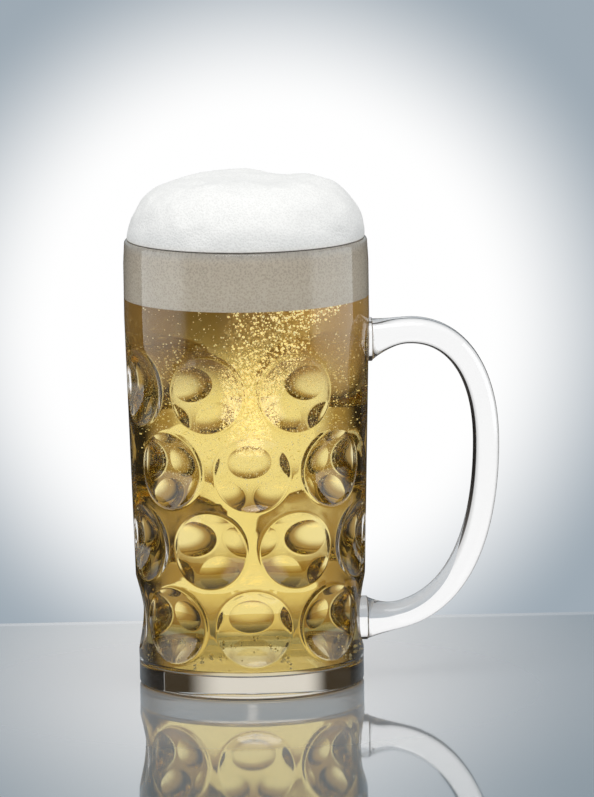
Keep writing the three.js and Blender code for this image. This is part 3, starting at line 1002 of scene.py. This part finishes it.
# Bubbles: carbonation that rises in a dense plume to the foam, a finer cloud round it and a few
# larger bubbles that cling to the floor. One tree of nodes scatters each set, and a faint glow
# stands in for the light that they scatter.
BUBBLE_COLOUR = (1.0, 0.86, 0.53)
BUBBLE_GLOW = (1.0, 0.91, 0.58)
BUBBLE_IOR = 1.33
BUBBLE_GRAIN = 400.0
GRAIN_RANGE = (0.3, 0.7)
GRAIN_ROUGHNESS = (0.25, 0.5)
SMALL_SHARE = 2.5


def bubble_skin(name, glow):
    """The pale gold of a bubble that scatters the light behind it."""
    finish, tree, skin = new_finish(name)
    finish.cycles.emission_sampling = "NONE"
    skin.inputs["Base Color"].default_value = (*BUBBLE_COLOUR, 1.0)
    skin.inputs["IOR"].default_value = BUBBLE_IOR
    skin.inputs["Emission Color"].default_value = (*BUBBLE_GLOW, 1.0)
    skin.inputs["Emission Strength"].default_value = glow
    grain = noise_node(tree, object_place(tree), BUBBLE_GRAIN)
    tree.links.new(ramp_node(tree, grain, *GRAIN_RANGE, *GRAIN_ROUGHNESS), skin.inputs["Roughness"])
    return finish


def chance(tree, seed, offset):
    """A random value from 0 to 1 for each point."""
    made = add_node(tree, "FunctionNodeRandomValue", data_type="FLOAT")
    tree.links.new(math_node(tree, "ADD", seed, offset), made.inputs["Seed"])
    return made.outputs[1]


def between(tree, low, high, share):
    """A value part of the way from one value to another."""
    span = math_node(tree, "SUBTRACT", high, low)
    return math_node(tree, "ADD", low, math_node(tree, "MULTIPLY", span, share))


tree, given = new_tree(
    "rising_bubbles",
    Int=("Count", "Seed"),
    Float=(
        "Top", "Bottom", "Top Spread", "Bottom Spread", "Top Drift", "Forward",
        "Crowding", "Taper", "Smallest", "Largest",
    ),
    Material=("Material",),
)
sunk = math_node(tree, "POWER", chance(tree, given["Seed"], 1), given["Crowding"])
narrow = math_node(tree, "POWER", math_node(tree, "SUBTRACT", 1.0, sunk), given["Taper"])
reach = between(tree, given["Bottom Spread"], given["Top Spread"], narrow)
even = math_node(tree, "SQRT", chance(tree, given["Seed"], 2))
off_axis = math_node(tree, "MULTIPLY", reach, even)
turn = math_node(tree, "MULTIPLY", chance(tree, given["Seed"], 3), 2 * math.pi)
east = math_node(tree, "MULTIPLY", off_axis, math_node(tree, "COSINE", turn))
north = math_node(tree, "MULTIPLY", off_axis, math_node(tree, "SINE", turn))
spot = combined(
    tree,
    x=math_node(tree, "ADD", east, math_node(tree, "MULTIPLY", given["Top Drift"], narrow)),
    y=math_node(tree, "SUBTRACT", north, given["Forward"]),
    z=between(tree, given["Top"], given["Bottom"], sunk),
)
dots = add_node(tree, "GeometryNodePoints")
tree.links.new(given["Count"], dots.inputs["Count"])
tree.links.new(spot, dots.inputs["Position"])
ball = add_node(tree, "GeometryNodeMeshIcoSphere")
ball.inputs["Radius"].default_value = 1.0
ball.inputs["Subdivisions"].default_value = 1
placed = add_node(tree, "GeometryNodeInstanceOnPoints")
tree.links.new(dots.outputs[0], placed.inputs["Points"])
tree.links.new(ball.outputs["Mesh"], placed.inputs["Instance"])
luck = math_node(tree, "POWER", chance(tree, given["Seed"], 4), SMALL_SHARE)
size = between(tree, given["Smallest"], given["Largest"], luck)
tree.links.new(size, placed.inputs["Scale"])
end_tree(tree, placed.outputs[0], given["Material"])


def scatter(name, tree, **values):
    """One set of bubbles in the beer."""
    bubbles = grown(name, tree, **values)
    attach(bubbles, "root")


scatter(
    "bubbles_plume", tree, Count=3800, Seed=11, Top=beer_top - 0.001, Bottom=beer_top - 0.066,
    Top_Spread=0.025, Bottom_Spread=0.008, Top_Drift=0.015, Forward=0.016, Crowding=1.5, Taper=2.5,
    Smallest=0.00016, Largest=0.0006, Material=bubble_skin("bubble_bright", 0.7),
)
scatter(
    "bubbles_cloud", tree, Count=5200, Seed=23, Top=beer_top - 0.0005, Bottom=beer_top - 0.085,
    Top_Spread=0.046, Bottom_Spread=0.034, Top_Drift=0.0, Forward=0.0, Crowding=1.0, Taper=1.0,
    Smallest=0.00012, Largest=0.00042, Material=bubble_skin("bubble_fine", 0.5),
)
scatter(
    "bubbles_floor", tree, Count=26, Seed=5, Top=floor_height + 0.0012, Bottom=floor_height + 0.0006,
    Top_Spread=0.040, Bottom_Spread=0.044, Top_Drift=0.0, Forward=0.0, Crowding=1.0, Taper=1.0,
    Smallest=0.0005, Largest=0.0011, Material=bubble_skin("bubble_clinging", 0.1),
)


# Bubble haze: a brown veil under the foam, partly the finest bubbles, too small to see one by one,
# and partly painted shade. A soft oval core inside the beer that thins out downwards, bends no
# light itself and glows faintly at both sides with painted light, more on the right.
HAZE_VEIL_AND_SHADE = (0.46, 0.30, 0.11)
HAZE_NO_GLOW = (0.0, 0.0, 0.0)
HAZE_LEFT_GLOW = (0.10, 0.06, 0.02)
HAZE_LEFT_FALL = (-0.034, -0.020)
HAZE_RIGHT_GLOW = (0.22, 0.145, 0.06)
HAZE_RIGHT_FALL = (0.008, 0.026)
HAZE_THICKEST = 0.8
HAZE_DEPTH = 0.050
HAZE_FLATTEN = 0.42
HAZE_FOOT = 0.030
HAZE_WAIST = 0.0425
HAZE_SHOULDER = 0.0485
HAZE_FOOT_RISE = 0.010
HAZE_SHOULDER_RISE = 0.006
HAZE_STEPS = 96
DRIFT_SCALE = 60.0
DRIFT_RANGE = (0.2, 0.8)
DRIFT_THICKNESS = (0.85, 1.1)
dimple_crown = FIRST_ROW + (ROWS - 1) * ROW_PITCH + DIMPLE_RADIUS
haze_top = beer_top - 0.001
haze_bottom = haze_top - HAZE_DEPTH

haze_vertices, haze_faces = turned([
    (0, haze_bottom),
    (HAZE_FOOT, haze_bottom),
    (HAZE_WAIST, haze_bottom + HAZE_FOOT_RISE),
    (HAZE_WAIST, dimple_crown),
    (HAZE_SHOULDER, dimple_crown + HAZE_SHOULDER_RISE),
    (HAZE_SHOULDER, haze_top),
    (0, haze_top),
], HAZE_STEPS)
haze = link_mesh("bubble_haze", [(x, y * HAZE_FLATTEN, z) for x, y, z in haze_vertices], haze_faces)
mist, tree, veil = new_finish("bubble_haze")
mist.cycles.emission_sampling = "NONE"
# Partly painted shade: a brown veil that darkens the upper beer.
veil.inputs["Base Color"].default_value = (*HAZE_VEIL_AND_SHADE, 1.0)
veil.inputs["Roughness"].default_value = 1.0
veil.inputs["Specular IOR Level"].default_value = 0.0
veil.inputs["Emission Strength"].default_value = 1.0
where = object_place(tree)
split = split_xyz(tree, where)
drifts = ramp_node(tree, noise_node(tree, where, DRIFT_SCALE), *DRIFT_RANGE, *DRIFT_THICKNESS)
thick = ramp_node(tree, split["Z"], haze_bottom, haze_top, 0, HAZE_THICKEST)
tree.links.new(math_node(tree, "MULTIPLY", thick, drifts), veil.inputs["Alpha"])
# Painted light: the haze glows faintly at its left side, more at its right side and not in the middle.
warm = mix_colours(tree, ramp_node(tree, split["X"], *HAZE_LEFT_FALL, 1, 0), HAZE_NO_GLOW, HAZE_LEFT_GLOW)
warm = mix_colours(tree, ramp_node(tree, split["X"], *HAZE_RIGHT_FALL, 0, 1), warm, HAZE_RIGHT_GLOW)
tree.links.new(warm, veil.inputs["Emission Color"])
haze.data.materials.append(mist)
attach(haze, "root")


# Foam head: fine dense froth, grey-beige behind the wall and dry and white over the rim, where it
# swells into an uneven dome with a slightly hollow crown. Behind the wall its colour is partly wet
# froth and partly painted shade, which darkens it towards the lip, and a painted dark line of shade
# runs where the froth meets the lip.
FOAM_RISE = 0.0277
FOAM_FULLNESS = 4
FOAM_INSET = 0.0012
FOAM_SEAT = 0.0003
FOAM_HOLLOW = 0.0022
HOLLOW_REACH = 0.62
FOAM_LEAN = 0.0003
FOAM_LUMPS = ((0.0019, 38), (0.0009, 95), (0.0003, 240))
SIDE_SWELL = 0.036
SIDE_PITCH = 45
SIDE_SHIFT = Vector((3, 1, 2))
FINE_SWELL = 0.012
FINE_PITCH = 120
FINE_SHIFT = Vector((1, 7, 4))
FOAM_STEPS = 200
FOAM_ROWS = 14
DOME_ROWS = 60
DRY_COLOURS = ((0.84, 0.84, 0.82), (0.92, 0.92, 0.90))
WET_AND_SHADED_COLOURS = ((0.72, 0.63, 0.50), (0.87, 0.80, 0.67))
SHADED_TOP_COLOURS = ((0.62, 0.54, 0.43), (0.80, 0.72, 0.59))
LIP_SHADE_LINE = (0.10, 0.085, 0.065)
PORE_SCALE = 1050.0
PORE_RANGE = (0.1, 0.7)
PORE_STRENGTH = 0.35
PORE_DEPTH = 0.0006

foam_bottom = beer_top - WELD
foam_seat = MUG_HEIGHT + FOAM_SEAT
band_shade_range = (foam_bottom + 0.004, lip_foot)
dry_range = (lip_foot - 0.004, foam_seat + 0.003)
line_foot = (MUG_HEIGHT - 0.0016, MUG_HEIGHT - 0.0010)
line_top = (MUG_HEIGHT + 0.0003, MUG_HEIGHT + 0.0008)
brim = lip_outside - FOAM_INSET
neck = float(wall_radius(lip_foot)) - inside
foam_profile = [(0, foam_bottom)]
for z in np.linspace(foam_bottom, lip_foot, FOAM_ROWS):
    foam_profile.append((float(wall_radius(z)) - inside, float(z)))
foam_profile.append((neck, foam_seat))
for angle in np.linspace(0, math.pi / 2, DOME_ROWS)[:-1]:
    across = brim * math.cos(angle) ** (2 / FOAM_FULLNESS)
    foam_profile.append((across, foam_seat + FOAM_RISE * math.sin(angle)))
foam_profile.append((0, foam_seat + FOAM_RISE))
foam_vertices, foam_faces = turned(foam_profile, FOAM_STEPS)
froth = []
for v in map(Vector, foam_vertices):
    rise = min(1, max(0, (v.z - foam_seat) / FOAM_RISE))
    hollow = max(0, 1 - (math.hypot(v.x, v.y) / (HOLLOW_REACH * brim)) ** 2)
    lift = FOAM_LEAN * rise * v.x / brim - FOAM_HOLLOW * hollow * rise
    lift += rise * sum(size * noise.noise(v * pitch) for size, pitch in FOAM_LUMPS)
    swell = 1 + SIDE_SWELL * rise * (1 - rise) * 4 * noise.noise(v * SIDE_PITCH + SIDE_SHIFT)
    swell += FINE_SWELL * min(1, rise * 3) * noise.noise(v * FINE_PITCH + FINE_SHIFT)
    froth.append(Vector((v.x * swell, v.y * swell, v.z + lift)))
foam = link_mesh("foam_head_froth", froth, foam_faces)

froth_finish, tree, froth_skin = new_finish("foam_froth")
froth_skin.inputs["Roughness"].default_value = 0.75
where = object_place(tree)
level = split_xyz(tree, where)["Z"]
cells = add_node(tree, "ShaderNodeTexVoronoi")
cells.inputs["Scale"].default_value = PORE_SCALE
tree.links.new(where, cells.inputs["Vector"])
pores = ramp_node(tree, cells.outputs["Distance"], *PORE_RANGE, 0, 1)
# Painted shade: the froth behind the wall darkens towards the lip.
band_shade = ramp_node(tree, level, *band_shade_range, 0, 1)
wet_and_shaded_colour = mix_colours(
    tree, band_shade, mix_colours(tree, pores, *WET_AND_SHADED_COLOURS), mix_colours(tree, pores, *SHADED_TOP_COLOURS)
)
dry = ramp_node(tree, level, *dry_range, 0, 1)
froth_colour = mix_colours(tree, dry, wet_and_shaded_colour, mix_colours(tree, pores, *DRY_COLOURS))
# Painted shade: a thin dark line where the froth meets the lip.
on_lip_shade_line = math_node(
    tree, "MULTIPLY",
    ramp_node(tree, level, *line_foot, 0, 1), ramp_node(tree, level, *line_top, 1, 0),
)
tree.links.new(mix_colours(tree, on_lip_shade_line, froth_colour, LIP_SHADE_LINE), froth_skin.inputs["Base Color"])
froth_bump = add_node(tree, "ShaderNodeBump")
froth_bump.inputs["Strength"].default_value = PORE_STRENGTH
froth_bump.inputs["Distance"].default_value = PORE_DEPTH
tree.links.new(cells.outputs["Distance"], froth_bump.inputs["Height"])
tree.links.new(froth_bump.outputs["Normal"], froth_skin.inputs["Normal"])
foam.data.materials.append(froth_finish)
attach(foam, "root")
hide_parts("foam_head")
